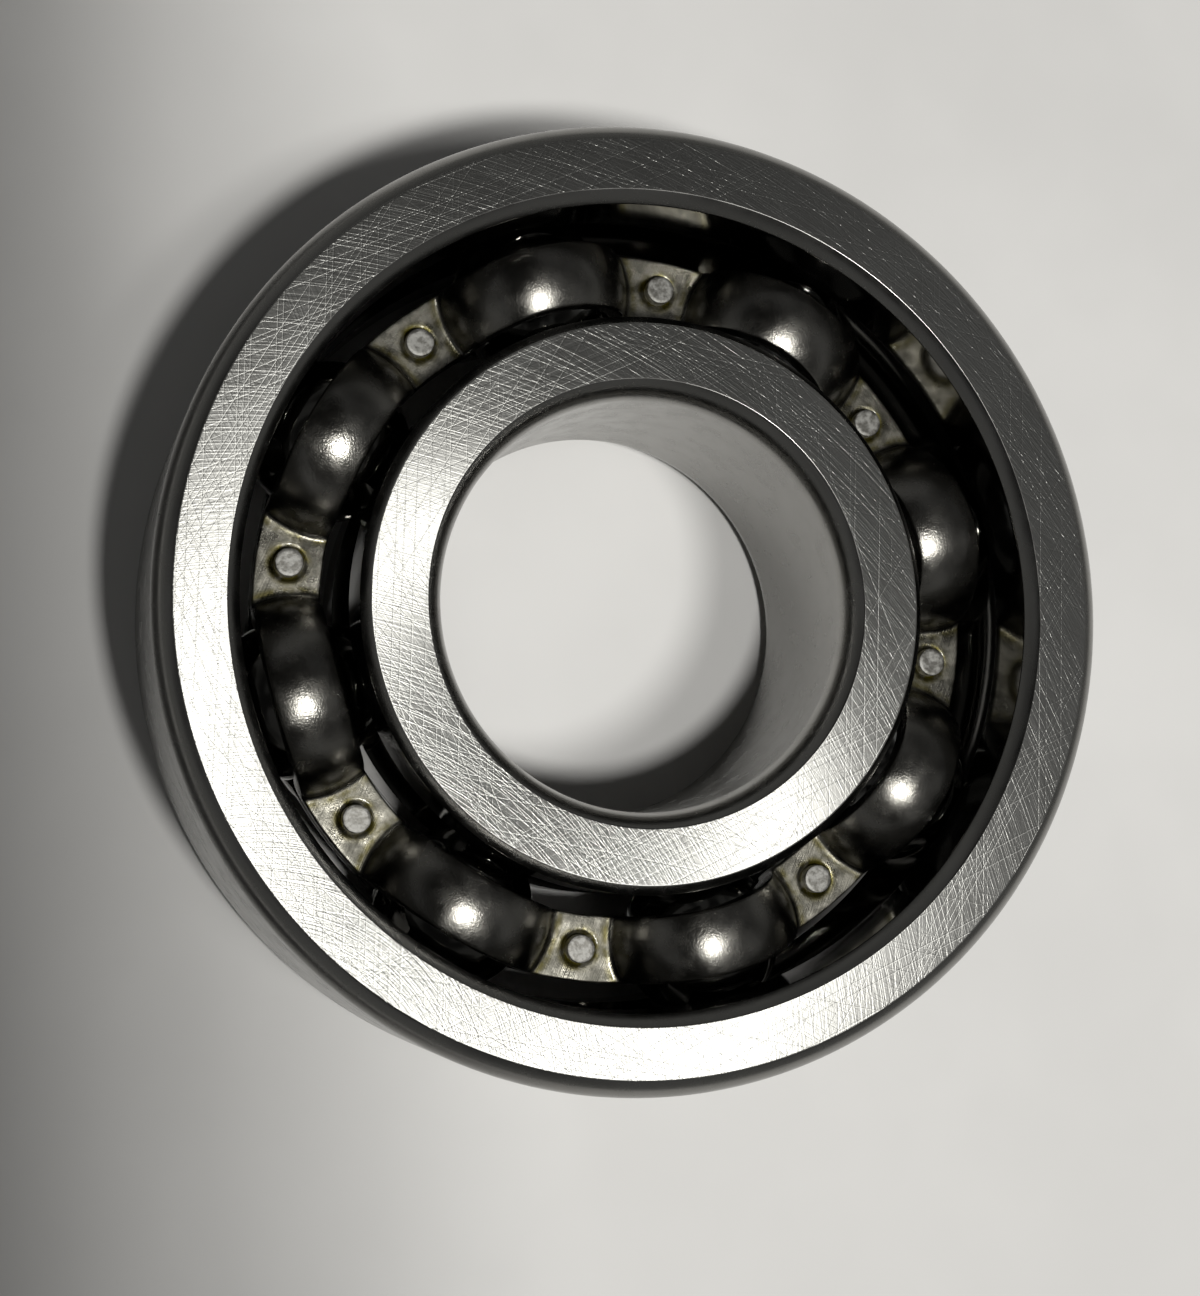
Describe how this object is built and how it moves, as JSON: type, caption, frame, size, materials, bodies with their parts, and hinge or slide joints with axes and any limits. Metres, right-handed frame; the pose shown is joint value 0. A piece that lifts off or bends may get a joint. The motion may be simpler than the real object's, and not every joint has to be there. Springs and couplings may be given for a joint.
{
  "type": "deep groove ball bearing",
  "caption": "Open single-row deep-groove ball bearing with ground steel rings, steel balls and a riveted two-piece ribbon cage; the inner ring, cage and balls turn together.",
  "frame": {"origin": "centre of the bearing, on its axis at half its width", "axes": "+Z along the bearing's axis, out of the front face; +X from the axis through the centre of ball_1"},
  "size_m": [0.047, 0.047, 0.014],
  "materials": {
    "ring_steel": "ground flat with crossing scratches on the faces, smooth turned corners",
    "ball_steel": "lapped mirror finish",
    "cage_steel": "pressed sheet, satin, slightly oily",
    "rivet_steel": "clenched flat, matte"
  },
  "bodies": {
    "outer_ring": {"outer_ring": "ring_steel"},
    "inner_ring": {"inner_ring": "ring_steel"},
    "cage": {"cage_front": "cage_steel", "cage_back": "cage_steel", "rivet_1": "rivet_steel", "rivet_2": "rivet_steel", "rivet_3": "rivet_steel", "rivet_4": "rivet_steel", "rivet_5": "rivet_steel", "rivet_6": "rivet_steel", "rivet_7": "rivet_steel", "rivet_8": "rivet_steel"},
    "ball_1": {"ball_1": "ball_steel"},
    "ball_2": {"ball_2": "ball_steel"},
    "ball_3": {"ball_3": "ball_steel"},
    "ball_4": {"ball_4": "ball_steel"},
    "ball_5": {"ball_5": "ball_steel"},
    "ball_6": {"ball_6": "ball_steel"},
    "ball_7": {"ball_7": "ball_steel"},
    "ball_8": {"ball_8": "ball_steel"}
  },
  "joints": [
    {"name": "inner_turn", "type": "hinge", "parent": "outer_ring", "child": "inner_ring", "pos_m": [0, 0, 0], "axis": [0, 0, 1], "continuous": true},
    {"name": "cage_turn", "type": "hinge", "parent": "outer_ring", "child": "cage", "pos_m": [0, 0, 0], "axis": [0, 0, 1], "continuous": true},
    {"name": "ball_1_spin", "type": "hinge", "parent": "cage", "child": "ball_1", "pos_m": [0.01675, 0, 0], "axis": [0, 0, 1], "continuous": true},
    {"name": "ball_2_spin", "type": "hinge", "parent": "cage", "child": "ball_2", "pos_m": [0.01184, 0.01184, 0], "axis": [0, 0, 1], "continuous": true},
    {"name": "ball_3_spin", "type": "hinge", "parent": "cage", "child": "ball_3", "pos_m": [0, 0.01675, 0], "axis": [0, 0, 1], "continuous": true},
    {"name": "ball_4_spin", "type": "hinge", "parent": "cage", "child": "ball_4", "pos_m": [-0.01184, 0.01184, 0], "axis": [0, 0, 1], "continuous": true},
    {"name": "ball_5_spin", "type": "hinge", "parent": "cage", "child": "ball_5", "pos_m": [-0.01675, 0, 0], "axis": [0, 0, 1], "continuous": true},
    {"name": "ball_6_spin", "type": "hinge", "parent": "cage", "child": "ball_6", "pos_m": [-0.01184, -0.01184, 0], "axis": [0, 0, 1], "continuous": true},
    {"name": "ball_7_spin", "type": "hinge", "parent": "cage", "child": "ball_7", "pos_m": [0, -0.01675, 0], "axis": [0, 0, 1], "continuous": true},
    {"name": "ball_8_spin", "type": "hinge", "parent": "cage", "child": "ball_8", "pos_m": [0.01184, -0.01184, 0], "axis": [0, 0, 1], "continuous": true}
  ],
  "couplings": [
    {"joint": "cage_turn", "follows": "inner_turn", "ratio": 0.38153},
    {"joint": "ball_1_spin", "follows": "inner_turn", "ratio": -1.9918},
    {"joint": "ball_2_spin", "follows": "inner_turn", "ratio": -1.9918},
    {"joint": "ball_3_spin", "follows": "inner_turn", "ratio": -1.9918},
    {"joint": "ball_4_spin", "follows": "inner_turn", "ratio": -1.9918},
    {"joint": "ball_5_spin", "follows": "inner_turn", "ratio": -1.9918},
    {"joint": "ball_6_spin", "follows": "inner_turn", "ratio": -1.9918},
    {"joint": "ball_7_spin", "follows": "inner_turn", "ratio": -1.9918},
    {"joint": "ball_8_spin", "follows": "inner_turn", "ratio": -1.9918}
  ]
}
